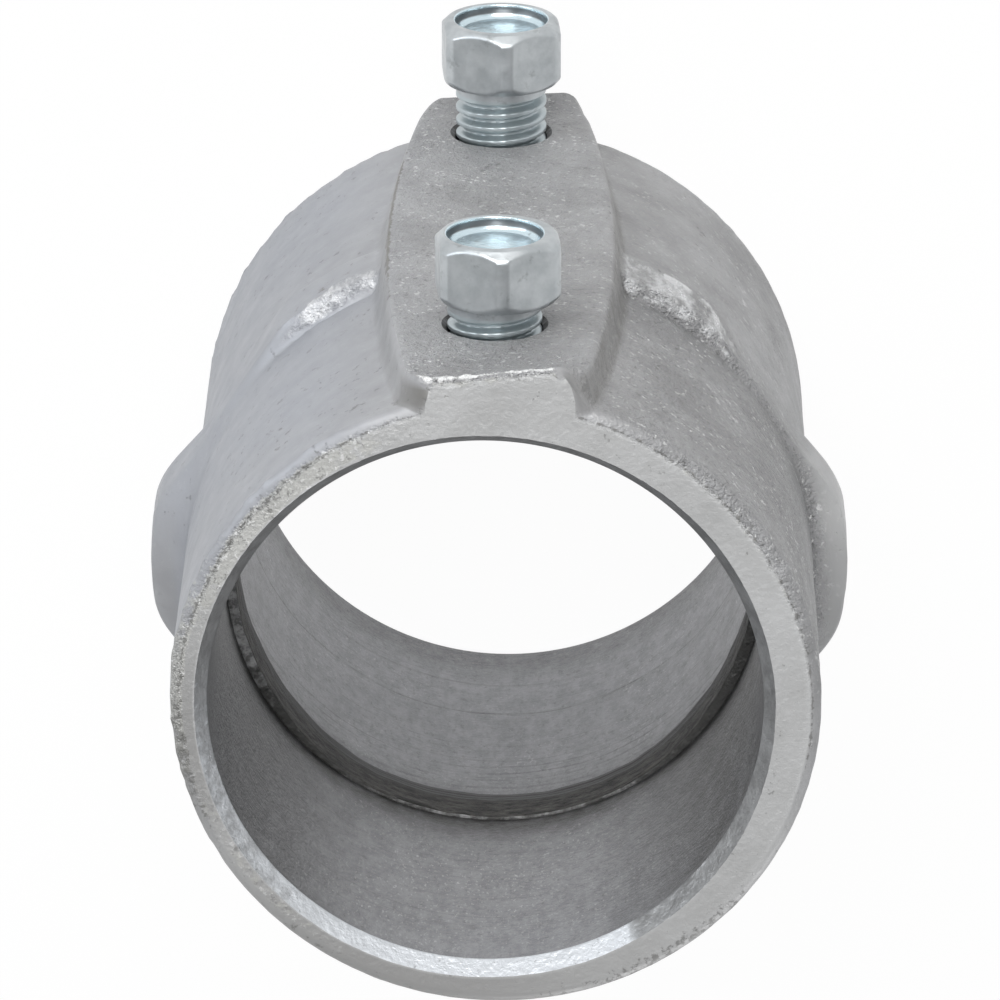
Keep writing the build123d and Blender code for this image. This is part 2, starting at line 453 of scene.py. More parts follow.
def lineHole(place, outerLoop, innerLoop, corners, count):
    # a screw hole's wall: rings step down to the bore, grooved by height less a share of bearing
    centre, beside = place
    middleX, middleZ = -beside, frontZ - centre
    x, y, z = corners[innerLoop].T
    bearing = np.arctan2(z - middleZ, x - middleX)
    sinkEnd = bossTop - (holes["sinkRadius"] - holes["radius"])
    steps = np.linspace(0, 1, holes["rings"])[:, None]
    height = sinkEnd + (0.3 - y - sinkEnd)[None, :] * steps
    phase = height / holes["threadPitch"] - bearing[None, :] / (2 * np.pi)
    wave = np.abs((phase % 1) * 2 - 1) * np.clip(np.minimum(steps, 1 - steps) * 12, 0, 1)
    wallRadius = holes["radius"] + holes["threadGroove"] * wave
    rings = np.stack([middleX + wallRadius * np.cos(bearing), -height,
                      middleZ + wallRadius * np.sin(bearing)], -1) * mm
    numbers = count + np.arange(height.size).reshape(height.shape)
    stack = np.concatenate([outerLoop[None, :], numbers, innerLoop[None, :]])
    return rings.reshape(-1, 3), strips(stack[:-1], stack[1:]).reshape(-1, 4)


def finishMarks(shapes, values, signed, near, depths, right, marks, rough, broken):
    # what the materials read at each corner: products of hills and smooth steps over bearing,
    # depth and the place on the row
    isRim, isFace, isMouth, isStop = [shapes == name for name in ("rim", "face", "mouth", "ring")]
    isSkin = isRim | (shapes == "skin")
    degrees = np.degrees(signed)
    beside = np.abs(np.sin(signed))
    isRight = right > 0
    onTop, onSide, crest = marks["bossTop"], marks["bossSide"], marks["crest"]
    stopEnd = frontSocket + stopLength
    lower = smooth(np.abs(degrees), 96, 124)
    rimShare = np.where(isRim, values, isFace)
    # in the bore: painted shadow before and behind the stop, the stop darker towards its front,
    # darker near the far edge, and painted shade at the sides
    before = smooth(depths, frontSocket - 12, frontSocket - 0.1) ** 1.35
    behind = (0.45 + 0.4 * beside) * np.exp(-np.abs(depths - stopEnd) / 3.2)
    nearStop = np.where(depths < frontSocket + 0.05, before, behind)
    nearStop = np.where(isStop, smooth(stopEnd - depths, 0.8, 4.8), nearStop)
    farEdge = 0.5 * smooth(depths, bodyLength - 16, bodyLength - 4)
    sideShade = (0.65 + 0.18 * isRight) * smooth(beside, 0.35 - 0.12 * isRight, 0.9)
    sideShade = sideShade * (depths < frontSocket)
    # the collar's polished bands, lightened as a painted highlight on its front slope, end sooner,
    # the further they are from the boss
    bandEnd = np.where(isRight, 63.5 - 6 * smooth(degrees, 36, 50),
                       57 - 3.2 * smooth(-degrees, 29, 40))
    band = smooth(depths, 50.4, 51.4) * (1 - smooth(depths, bandEnd - 1.5, bandEnd + 0.8))
    band = band * np.where(isRight, 1 - smooth(degrees, 47, 56), 1 - smooth(-degrees, 37, 47))
    band = band * np.maximum(crest, marks["slope"])
    behindBand = hill(depths - bandEnd, 1.3, 1.1) * smooth(-degrees, 22, 28)
    behindBand = behindBand * (1 - smooth(-degrees, 46, 56))
    # dirt in the creases, with painted shade on the boss's side walls and in the dark wedge at its
    # front left corner
    bossCrease = marks["bossCrease"] * np.where(
        isRight, 0.66 - 0.25 * hill(depths, 0, 3), 0.27 + 0.5 * hill(depths, 0, 5))
    collarCrease = 0.8 * marks["collarCrease"] * (depths > casting["collarMiddle"])
    # dark pits along the face's outer edge, and a few along its inner edge
    faceShare = np.where(isFace, values, 0)
    outward = isRim * 1.0 + isFace * np.clip(1 - 2.4 * faceShare, 0, 1)
    pocked = np.maximum(0.52 * near["pitsLowRight"], 0.36 * near["pitsLowLeft"])
    pocked = np.maximum(pocked, 0.55 * near["pitsLeft"])
    inward = 0.42 * isFace * smooth(faceShare, 0.6, 0.83) * near["pitsInside"]
    seam = isRim * 0.6 * hill(rimShare, 0.8, 0.2) * (1 - lower) * (1 - onTop) * (1 - onSide)
    rimEdge = broken * np.maximum(smooth(rimShare, 0.3, 0.8), near["brokenSide"])
    faceEdge = np.maximum(near["brokenLeft"], 0.42 * near["greyLeft"])
    stripWidth = 0.4 + 0.55 * smooth(-right, 1, 8)
    lowDegrees = (degrees + 340) % 360 - 340  # without a step at the bottom
    coarseRim = (1 - onTop) * (1 - 0.8 * near["coarseRim"])
    return {
        "crease": np.maximum(bossCrease, collarCrease) * isSkin,
        "stitch": np.maximum(marks["bossLeftEdge"], 0.62 * behindBand * crest) * isSkin,
        # a paler patch on the collar's right corner, and a painted highlight line along that corner
        "pale": (0.55 * near["paleCorner"] + 0.4 * near["paleLine"]) * crest * isSkin,
        "blue": smooth(-degrees, 4, 40) * (1 - smooth(-degrees, 100, 160)) * isSkin
        * (1 - 0.75 * near["greyCorner"] * crest),
        "wear": band * np.where(isRight, 1, 0.82) * isSkin,
        # the stop's worn lip, painted lighter as a highlight where it catches the light
        "lip": (isStop | (np.abs(depths - frontSocket) < 0.01))
        * (near["stopLip"] + 0.33 * lower * (1 - smooth(beside, 0.4, 0.75))),
        # a painted highlight along the boss's front edge
        "bright": onTop * hill(depths, 0.55, stripWidth) * isSkin,
        "edge": np.clip(np.where(isRim, rimEdge, np.where(isFace, faceEdge, 0)), 0, 1),
        "seam": np.maximum(seam, outward * pocked + inward),
        "rim": isRim * np.maximum(lower, smooth(rimShare, 0.7, 1.0)) * (1 - 0.8 * onSide),
        # darker towards the bottom and on the left
        "dull": np.maximum(hill(lowDegrees, *around["dullLow"]), near["dullLeft"])
        * (isRim | isFace),
        "rough": rough * isSkin * (1 - 0.85 * isRim * coarseRim),
        # bare metal on the bevel, partly a painted highlight where it faces the light
        "bare": isMouth * np.where(
            degrees < 0, 0.48 * smooth(-degrees, 70, 106) + 0.52 * smooth(-degrees, 122, 166),
            smooth(degrees, 146, 152)),
        # painted shadow round the stop, painted shade at the front bore's sides, the stop darker
        # towards its front and the far end darker
        "grime": np.maximum(np.maximum(nearStop, farEdge), sideShade)
        * ~isSkin * ~isFace * ~isMouth,
    }


def buildBody():
    # the casting as one closed sheet: radius = f(angle, depth) on every row, plus lattice noise
    # for the cast skin, with the screws' two openings cut from the grid and lined with threads
    rows, starts, depthLists = castingRows()
    angles = columnAngles(np.array([row[1] for row in rows])[:, None])
    depths = np.repeat(np.array([row[2] for row in rows])[:, None], angles.shape[1], axis=1)
    blocks = holeBlocks(angles, depths, starts, depthLists)
    signed = np.arctan2(np.sin(angles), np.cos(angles))
    outer, marks = outsideRadius(angles, np.clip(depths, 0, bodyLength))
    right = outer * np.sin(angles)
    points = np.stack([right, outer * np.cos(angles), depths], -1)
    seed = casting["seed"]
    lumps = latticeNoise(points, 5.0, seed) + 0.6 * latticeNoise(points, 2.1, seed + 1)
    grit = latticeNoise(points, 1.5, seed + 2)
    jagged = latticeNoise(points, 1.2, seed + 4)
    knobs = latticeNoise(points, 3.2, seed + 3) + 0.6 * latticeNoise(points, 1.6, seed + 6)
    # the boss's top and the right side are coarse, and the upper left is smooth
    degrees = np.degrees(signed)
    near = {name: hill(degrees, *place) for name, place in around.items()}
    fromEnd = np.minimum(depths, bodyLength - depths)
    rough = 0.06 + 0.76 * smooth(right, 2, 24) * (1 - 0.6 * smooth(depths, 52, 66))
    rough = np.maximum(rough, marks["bossTop"] * (0.6 + 0.2 * (1 - smooth(depths, 8, 26))))
    calm = (1 - 0.6 * marks["bossTop"]) * (0.4 + 0.6 * smooth(fromEnd, 1, 5))
    calm = calm * (1 - 0.6 * smooth(-degrees, 8, 28) * (1 - smooth(-degrees, 100, 150)))
    outer = outer + casting["lump"] * lumps * calm + casting["grit"] * grit * rough
    rough = rough * (1 - 0.9 * near["evenCorner"] * marks["crest"])
    nearBoss = 0.15 + 0.85 * (1 - smooth(np.abs(degrees), 48, 62))
    outer = outer + casting["knob"] * knobs * marks["crest"] * nearBoss
    outer = outer - casting["pit"] * np.clip(jagged, 0, 1) * marks["collarCrease"]
    # the rim's outer edge is broken most at the upper left, and little underneath
    broken = 0.1 + 0.32 * near["brokenRight"] + 0.8 * near["brokenLeft"]
    broken = broken + 0.5 * near["brokenSide"]
    calmSide = 1 - 0.85 * marks["bossSide"]
    broken = np.clip(np.maximum(broken, 0.5 * marks["bossTop"]), 0, 1) * calmSide
    rimAcross = casting["rimRound"][0] - 0.7 * marks["bossTop"]
    rimAcross = rimAcross + casting["rimRoundUpper"] * hill(np.abs(degrees), *around["rounderRim"])
    rimAcross = (rimAcross + 0.4 * broken * grit) * calmSide
    low, atSides = casting["stopStep"]
    boreAt = np.stack([boreRadius * np.sin(angles), boreRadius * np.cos(angles), depths], -1)
    ring = boreRadius - low - atSides * smooth(np.abs(np.sin(signed)), 0.45, 0.95)
    ring = ring + casting["stopNoise"] * latticeNoise(boreAt, 2.4, seed + 5)
    mouthNoise = 0.03 * latticeNoise(boreAt, 2.3, seed + 7)
    mouthNoise = mouthNoise + 0.03 * latticeNoise(boreAt, 0.7, seed + 8)
    pitted = casting["pit"] * broken * (1 - marks["bossSide"])
    width = casting["bevelWidth"]
    shapes, values = [np.array([row[part] for row in rows])[:, None] for part in (3, 4)]
    radius = np.select([shapes == shape for shape in ("skin", "rim", "face", "mouth", "ring")], [
        outer - pitted * np.clip(jagged, 0, 1) * np.exp(-(fromEnd - 1) / 1.2),
        outer - rimAcross * values - pitted * jagged * (1 - 0.6 * values),
        outer - rimAcross + (boreRadius + width - outer + rimAcross) * values,
        values + mouthNoise * (values - boreRadius) / width,
        ring + values], values)
    dents = 0.14 * (shapes == "face") * near["brokenLeft"] * np.clip(grit, 0, 1)
    depths = depths + dents * np.sign(bodyLength / 2 - depths)
    named = finishMarks(shapes, values, signed, near, depths, right, marks, rough, broken)
    corners = placeInFrame(radius * np.sin(angles), radius * np.cos(angles), depths)
    corners = corners.reshape(-1, 3)
    numbers = np.arange(radius.size).reshape(radius.shape)
    # the order 0, 3, 2, 1 turns the faces outwards, as these rows run from front to rear
    faces = strips(numbers, np.roll(numbers, -1, axis=0))[..., [0, 3, 2, 1]]
    bandOf = np.array([bands.index(row[0]) for row in rows])[:, None]
    slots = np.repeat(bandOf, radius.shape[1], axis=1)
    keepFace = np.ones(slots.shape, dtype=bool)
    loops = {}
    for place, isOuter, inRows, inColumns in blocks:
        keepFace[np.ix_(np.minimum(inRows[:-1], inRows[1:]), inColumns[:-1])] = False
        loops.setdefault(place, []).append(np.concatenate([
            numbers[inRows[0], inColumns[:-1]], numbers[inRows[:-1], inColumns[-1]],
            numbers[inRows[-1], inColumns[:0:-1]], numbers[inRows[:0:-1], inColumns[0]]]))
    allCorners, allFaces, allSlots = [corners], [faces[keepFace]], [slots[keepFace]]
    allMarks = {name: [values.ravel()] for name, values in named.items()}
    count = radius.size
    for place, (outerLoop, innerLoop) in loops.items():
        rings, wall = lineHole(place, outerLoop, innerLoop, corners / mm, count)
        count += len(rings)
        allCorners.append(rings)
        allFaces.append(wall)
        allSlots.append(np.full(len(wall), bands.index("stop")))
        for name, values in allMarks.items():
            values.append(np.full(len(rings), 1.0 if name == "crease" else 0.0))
    polygons = np.concatenate(allFaces)
    used = np.zeros(count, dtype=bool)
    used[polygons] = True
    renumber = np.cumsum(used) - 1
    named = {name: np.concatenate(values)[used] for name, values in allMarks.items()}
    return makeMesh("galvanised_casting", np.concatenate(allCorners)[used], renumber[polygons],
                    named, np.concatenate(allSlots))


bodyPiece = buildBody()
print("casting made:", len(bodyPiece.data.vertices), "corners,",
      len(bodyPiece.data.polygons), "faces")

screws = {
    "flats": 16.1,
    "cornerCut": 0.42,  # how much the hexagon's corners are blunted
    "topCircle": 7.5,  # where the chamfer on top meets the flat rim
    "topSlope": np.tan(np.radians(43.0)),
    "footSlope": np.tan(np.radians(48.0)),
    "footInset": 0.15,  # of the washer face under the head from its flats
    "footHeight": 8.9,  # from under the head to its top
    "recessRadius": 6.45,
    "recessRound": 0.25,  # at the recess's mouth
    "recessFloor": 5.3,
    "recessDepth": 1.9,
    "dishDepth": 0.45,
    "threadRadius": 6.35,
    "threadRoot": 5.3,
    "threadPitch": 1.954,
    "threadStep": 0.085,  # from row to row of the thread
    "threadRunOut": 0.8,
    "neckHeight": 1.5,
    "tipChamfer": 1.2,
    "columns": 240,
}


def hexRadius(bearing, shift):
    # distance to a hexagon's side along a bearing measured from a corner, with its corners cut by
    # a circle, plus the shift of a hexagon that sits a little to one side of its thread
    folded = np.abs((bearing + np.pi / 6) % (np.pi / 3) - np.pi / 6)
    side = screws["flats"] / 2 / np.cos(np.pi / 6 - folded)
    corner = screws["flats"] / 2 / np.cos(np.pi / 6) - screws["cornerCut"]
    return softMin(side, corner, 0.05) + shift


def buildScrew(name, node, depth, headTurn, headShift):
    # a set screw as rows of corners turned about its axis, from its tip up the thread and the
    # head's six sides, over the rim and into the dish; the thread's radius follows height less a
    # share of the bearing
    low, high = [np.array(corner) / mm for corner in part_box(node)]
    tip, headTop, middle = -high[1], -low[1], -(low[0] + high[0]) / 2
    headHeight, thread, recess = [screws[key] for key in (
        "footHeight", "threadRadius", "recessRadius")]
    foot = headTop - headHeight
    bearing = np.linspace(0, 2 * np.pi, screws["columns"], endpoint=False)
    shift = headShift * np.sin(bearing)
    hexagon = hexRadius(bearing - np.radians(headTurn), shift)
    threadEnd = foot - screws["neckHeight"]
    tipRadius = thread - screws["tipChamfer"]
    # rows of radius, height and part: 1 is the dish, 3 its wall, 2 the thread and 0 the rest
    rows = [(tipRadius * share, tip, 2) for share in (0.3, 0.7, 0.97)]
    step = screws["threadStep"]
    for height in np.arange(tip, threadEnd + step, step):
        phase = (height / screws["threadPitch"] - bearing / (2 * np.pi)) % 1
        rise = smooth(np.abs(phase - 0.5) * 2, 0.12, 0.8)
        run = np.clip((threadEnd - height) / screws["threadRunOut"], 0, 1)
        root = screws["threadRoot"] + (thread - 0.1 - screws["threadRoot"]) * (1 - run)
        crest = root + (thread - root) * rise
        rows.append((np.minimum(crest, tipRadius + (height - tip)), height, 2))
    rows += [(thread, height, 0) for height in (threadEnd + 0.15, threadEnd + 0.3, foot - 0.25)]
    rows.append((thread + 0.12, foot - 0.02, 0))
    washer = screws["flats"] / 2 - screws["footInset"]
    rows.append((0.5 * (np.minimum(hexagon, washer + shift) + thread), foot, 0))
    for up in np.concatenate([np.arange(0, 1.6, 0.12), spread(1.7, headHeight - 2.0, 0.5),
                              np.arange(headHeight - 1.9, headHeight - 0.05, 0.1)]):
        lowCone = washer + up / screws["footSlope"]
        topCone = screws["topCircle"] + (headHeight - up) / screws["topSlope"]
        cone = softMin(lowCone, topCone, 0.2) + shift
        rows.append((softMin(hexagon, cone, 0.3), foot + up, 0))
    rim = screws["topCircle"] + shift
    rows.append((np.minimum(hexagon, rim - 0.12), headTop - 0.04, 0))
    rows.append((np.minimum(hexagon, rim - 0.3), headTop, 0))
    rounding = screws["recessRound"]
    rows.append((recess + rounding, headTop, 0))
    rows += [(recess + rounding - rounding * np.sin(turn),
              headTop - rounding * (1 - np.cos(turn)), 1)
             for turn in np.linspace(0, np.pi / 2, 5)[1:]]
    wallTop, wallEnd = headTop - rounding, headTop - screws["recessDepth"]
    for share in np.linspace(0, 1, 12)[1:]:
        turn = share * np.pi / 2
        inward = (recess - screws["recessFloor"]) * (1 - np.cos(turn))
        rows.append((recess - inward, wallTop + (wallEnd - wallTop) * np.sin(turn),
                     3 if share < 0.45 else 1))
    rows += [(screws["recessFloor"] * share, wallEnd - screws["dishDepth"] * (1 - share ** 2), 1)
             for share in (0.96, 0.85, 0.7, 0.55, 0.4, 0.25, 0.1)]
    radius, height, part = [np.array([np.broadcast_to(row[which], bearing.shape) for row in rows])
                            for which in range(3)]
    corners = placeInFrame(middle + radius * np.sin(bearing), height,
                           depth - radius * np.cos(bearing)).reshape(-1, 3)
    poles = placeInFrame(np.array([middle, middle]), np.array([tip, wallEnd - screws["dishDepth"]]),
                         np.array([depth, depth]))
    count = len(corners)
    numbers = np.arange(count).reshape(radius.shape)
    sides = strips(numbers[:-1], numbers[1:]).reshape(-1, 4)
    first, last, pole = numbers[0], numbers[-1], np.full(screws["columns"], count)
    tipFaces = np.stack([pole, np.roll(first, -1), first], -1)
    dishFaces = np.stack([pole + 1, last, np.roll(last, -1)], -1)
    marks = {"dish": np.append(part == 1, (False, True)),
             "dishWall": np.append(part == 3, (False, False)),
             "thread": np.append(part == 2, (True, False))}
    return makeMesh(name, np.concatenate([corners, poles]),
                    sides.tolist() + tipFaces.tolist() + dishFaces.tolist(), marks)


frontScrew = buildScrew("front_screw", "front_set_screw", holes["frontDepth"], 8.0, 0.45)
rearScrew = buildScrew("rear_screw", "rear_set_screw", holes["rearDepth"], 6.5, 0.0)
print("screws made:", len(frontScrew.data.polygons), "faces each")

finishes = {
    "skinDark": (0.262, 0.264, 0.27),
    "skinPale": (0.345, 0.348, 0.358),
    "skinBlue": (0.292, 0.304, 0.334),
    "skinShade": (0.225, 0.227, 0.231),
    "pit": (0.115, 0.115, 0.11),
    "glint": (0.78, 0.785, 0.79),
    "dirt": (0.12, 0.114, 0.098),
    "soil": (0.11, 0.109, 0.103),
    "worn": (0.7, 0.71, 0.73),
    "rimGrey": (0.455, 0.455, 0.43),
    "faceDark": (0.41, 0.413, 0.415),
    "facePale": (0.48, 0.485, 0.49),
    "faceDull": (0.27, 0.268, 0.266),
    "bevelDark": (0.245, 0.248, 0.252),
    "bevelPale": (0.345, 0.35, 0.357),
    "bare": (0.73, 0.76, 0.8),
    "boreDark": (0.25, 0.254, 0.269),
    "borePale": (0.345, 0.349, 0.367),
    "grime": (0.035, 0.034, 0.032),
    "sootDark": (0.014, 0.014, 0.013),
    "sootPale": (0.135, 0.131, 0.122),
    "stopPale": (0.21, 0.212, 0.218),
    "stopDark": (0.075, 0.074, 0.072),
    "shoulderDark": (0.05, 0.05, 0.048),
    "shoulderPale": (0.42, 0.423, 0.427),
    "zincDark": (0.385, 0.412, 0.428),
    "zincPale": (0.5, 0.528, 0.545),
    "zincBlue": (0.62, 0.75, 0.81),
    "zincShade": (0.07, 0.08, 0.087),
    "zincThread": (0.42, 0.5, 0.525),
    "stain": (0.16, 0.17, 0.17),
}

drawnOut = (1, 1, 0.5)  # stretch of grains that are drawn out along the bore
toolRings = (1.0, 4, 0.7, (9, 9, 1300))  # noise for the fine rings left by the boring tool
rearBoreLines = (  # scored round the rear bore: depth, half width and tone
    (92.0, 0.45, 0.55), (69.0, 0.4, 0.5), (66.5, 0.5, 0.4),
    (71.5, 0.3, 0.4), (63.5, 0.7, 0.45), (80.0, 0.2, 0.35))


def newMaterial(name, metallic, roughness):
    material = bpy.data.materials.new(name)
    material.use_nodes = True
    shader = material.node_tree.nodes["Principled BSDF"]
    shader.inputs["Metallic"].default_value = metallic
    shader.inputs["Roughness"].default_value = roughness
    return material, material.node_tree


def feed(tree, socket, value):
    # a socket takes a number, a colour, the name of a colour in finishes, or another node's output
    if isinstance(value, str):
        value = finishes[value]
    if isinstance(value, bpy.types.NodeSocket):
        tree.links.new(value, socket)
    elif isinstance(value, tuple) and len(value) < len(socket.default_value):
        socket.default_value = (*value, 1.0)
    else:
        socket.default_value = value


def addNode(tree, kind, output, inputs, **settings):
    # a new node with its settings made and its sockets fed; gives back one of its outputs
    node = tree.nodes.new("ShaderNode" + kind)
    for name, value in settings.items():
        setattr(node, name, value)
    for socket, value in inputs.items():
        feed(tree, node.inputs[socket], value)
    return node.outputs[output]


def cloud(tree, scale, detail=4.0, roughness=0.6, stretch=None):
    # cloud noise on the object's own coordinates; scale is in grains to the metre
    point = addNode(tree, "TexCoord", "Object", {})
    if stretch:
        point = addNode(tree, "Mapping", "Vector", {"Scale": stretch, "Vector": point})
    return addNode(tree, "TexNoise", "Fac", {
        "Scale": scale, "Detail": detail, "Roughness": roughness, "Vector": point})


def mark(tree, name):
    return addNode(tree, "Attribute", "Fac", {}, attribute_name=name)


def remap(tree, value, low, high, toLow=0.0, toHigh=1.0):
    return addNode(tree, "MapRange", "Result", {
        "Value": value, "From Min": low, "From Max": high, "To Min": toLow, "To Max": toHigh})


def patches(tree, noise, low, high, toLow=0.0, toHigh=1.0):
    # cloud noise cut off between low and high; noise is its scale, detail, roughness and stretch
    return remap(tree, cloud(tree, *noise), low, high, toLow, toHigh)


def sums(tree, kind, *values):
    # two or more values joined by one kind of sum
    total = values[0]
    for value in values[1:]:
        total = addNode(tree, "Math", "Value", {0: total, 1: value}, operation=kind)
    return total


def times(tree, *values):
    return sums(tree, "MULTIPLY", *values)


def mixColour(tree, share, a, b):
    return addNode(tree, "Mix", 2, {"Factor": share, 6: a, 7: b}, data_type="RGBA")


def ground(tree, share, a, b):
    # the shader's first colour, between two others
    colour = tree.nodes["Principled BSDF"].inputs["Base Color"]
    feed(tree, colour, mixColour(tree, share, a, b))


def lay(tree, name, *shares):
    # one of the finishes laid over the shader's colour so far, by the product of its shares
    colour = tree.nodes["Principled BSDF"].inputs["Base Color"]
    under = colour.links[0].from_socket
    feed(tree, colour, mixColour(tree, times(tree, *shares), under, name))


def finish(material, bumps, **others):
    # bumps, each (height, strength, distance in metres) over the one before it, and other sockets
    tree = material.node_tree
    normal = {}
    for height, strength, distance in bumps:
        inputs = {"Distance": distance, "Strength": strength, "Height": height, **normal}
        normal = {"Normal": addNode(tree, "Bump", "Normal", inputs)}
    for socket, value in {**others, **normal}.items():
        feed(tree, tree.nodes["Principled BSDF"].inputs[socket], value)
    return material


def scoredLine(tree, depth, halfWidth):
    # 1 on a line scored round the bore at a depth, which wanders a little, and 0 off it
    height = addNode(tree, "SeparateXYZ", "Z", {"Vector": addNode(tree, "TexCoord", "Object", {})})
    wander = patches(tree, (45, 2), 0.3, 0.7, -0.0006, 0.0006)
    wandering = sums(tree, "ADD", height, wander)
    off = sums(tree, "SUBTRACT", wandering, (frontZ - depth) * mm)
    off = addNode(tree, "Math", "Value", {0: off}, operation="ABSOLUTE")
    return remap(tree, off, 0.0, halfWidth * mm, 1.0, 0.0)


def ragged(tree, value, scale, low=0.4, high=0.6, amount=0.8, stretch=None):
    # a mark with a broken edge: noise is added to it before it is cut off between low and high
    noise = sums(tree, "SUBTRACT", cloud(tree, scale, 4, 0.7, stretch), 0.5)
    fades = times(tree, times(tree, noise, amount * 2), remap(tree, value, 0.0, 0.15))
    return remap(tree, sums(tree, "ADD", value, fades), low, high)


def rimFinish(tree):
    # the rim's edge, on the skin and on the face alike: turned bare where it is wide, darker low
    # down and on the left, yellowish grey with pits and painted glints where it is roughest, and a
    # dark broken seam
    lay(tree, "facePale", mark(tree, "rim"), 0.9)
    # darker towards the bottom and on the left
    lay(tree, "faceDull", mark(tree, "dull"), 0.85)
    edge = mark(tree, "edge")
    lay(tree, "rimGrey", ragged(tree, edge, 500), 0.5)
    roughest = remap(tree, edge, 0.1, 0.6)
    lay(tree, "pit", roughest, patches(tree, (900, 4, 0.7), 0.58, 0.63), 0.6)
    lay(tree, "glint", roughest, patches(tree, (1200, 3, 0.65), 0.59, 0.63), 0.5)
    lay(tree, "soil", ragged(tree, mark(tree, "seam"), 1000, 0.46, 0.62, 0.9), 0.62)


def castSkin():
    # hot-dip galvanised cast iron: mottled pale grey, fine dark pits and painted glints, dirt and
    # painted shade in the creases and on the boss's sides, and polished bands lightened as a
    # painted highlight on the collar
    material, tree = newMaterial("galvanised_skin", 0.3, 0.48)
    rough, edge, wear = mark(tree, "rough"), mark(tree, "edge"), mark(tree, "wear")
    ground(tree, patches(tree, (70, 3, 0.6), 0.36, 0.64), "skinDark", "skinPale")
    tint = patches(tree, (30, 1), 0.35, 0.6, 0.7, 0.92)
    lay(tree, "skinBlue", mark(tree, "blue"), tint)
    pits = times(tree, patches(tree, (700, 4, 0.68), 0.62, 0.67),
                 patches(tree, (55, 2), 0.43, 0.6))
    lay(tree, "pit", pits, 0.55)
    mottle = patches(tree, (600, 5, 0.7, drawnOut), 0.49, 0.63)
    lay(tree, "skinShade", mottle, rough, 0.42)
    lay(tree, "pit", patches(tree, (1350, 3, 0.65), 0.6, 0.65), rough, 0.6)
    # a paler patch and a painted highlight line on the collar's right corner
    lay(tree, "facePale", mark(tree, "pale"))
    # painted glints: bright specks laid into the colour where the skin is rough
    paintedGlints = patches(tree, (1050, 4, 0.65, (1.0, 1.0, 1.2)), 0.59, 0.635)
    clusters = patches(tree, (130, 4, 0.7), 0.45, 0.58, 0.15, 1.0)
    lay(tree, "glint", paintedGlints, rough, clusters)
    # dirt, with painted shade on the boss's sides and in the creases
    crease = remap(tree, mark(tree, "crease"), 0.1, 0.9)
    lay(tree, "dirt", crease, patches(tree, (120, 2), 0.35, 0.65, 0.6, 0.9), 0.75)
    lay(tree, "dirt", ragged(tree, mark(tree, "stitch"), 520, 0.5, 0.7, 0.9), 0.7)
    # polished bands on the collar's front slope, lightened as a painted highlight
    polishSheen = times(tree, ragged(tree, wear, 300, 0.4, 0.75, 1.0, drawnOut),
                     patches(tree, (300, 5, 0.65, drawnOut), 0.42, 0.6, 0.05, 1.0))
    lay(tree, "worn", polishSheen, 0.8)
    # a painted highlight along the boss's front edge
    lay(tree, "glint", ragged(tree, mark(tree, "bright"), 480, 0.62, 0.95, 1.1))
    gloss = sums(tree, "SUBTRACT", patches(tree, (240, 3), 0.3, 0.7, 0.42, 0.58),
                 times(tree, polishSheen, 0.2))
    coarse = remap(tree, sums(tree, "MAXIMUM", rough, edge, wear), 0.1, 1.0, 0.04, 1.0)
    rimFinish(tree)
    return finish(material, (
        (cloud(tree, 330, 4, 0.6), remap(tree, rough, 0.1, 1.0, 0.06, 0.8), 0.0009),
        (cloud(tree, 1000, 4, 0.65), coarse, 0.0012),
        (cloud(tree, 2600, 2, 0.5), coarse, 0.0005),
        (times(tree, pits, -1.0), 0.6, 0.0003)), Roughness=gloss)


def turnedFace():
    # the rim's turned face: smooth light grey, with a few dark pits, most along the rim
    material, tree = newMaterial("turned_face", 0.3, 0.45)
    ground(tree, patches(tree, (110, 5, 0.65), 0.34, 0.66), "faceDark", "facePale")
    lay(tree, "pit", patches(tree, (900, 4, 0.65), 0.66, 0.7), 0.5)
    coarse = remap(tree, mark(tree, "edge"), 0.0, 1.0, 0.2, 0.6)
    rimFinish(tree)
    return finish(material, (
        (cloud(tree, 420, 4, 0.6), 0.25, 0.0005), (cloud(tree, 1200, 4, 0.65), coarse, 0.0009)))


def mouthBevel():
    # the bevel: bare bright metal at the bottom of the mouth, where it was cut deepest, lightened
    # further as a painted highlight where it faces the light, and dull grey elsewhere
    material, tree = newMaterial("turned_bevel", 0.35, 0.32)
    bare = mark(tree, "bare")
    ground(tree, patches(tree, (330, 5, 0.65), 0.4, 0.62), "bevelDark", "bevelPale")
    # bare metal, lightened as a painted highlight where the bevel faces the light
    lay(tree, "bare", bare, 0.85)
    strokes = patches(tree, (700, 4, 0.7), 0.35, 0.6, 0.72, 1.0)
    lay(tree, "bare", ragged(tree, bare, 420, 0.35, 0.65, 0.9), strokes)
    lay(tree, "pit", patches(tree, (1300, 3, 0.65), 0.63, 0.68), 0.4)
    return finish(material, ((cloud(tree, 900, 4, 0.6), 0.4, 0.0005),))


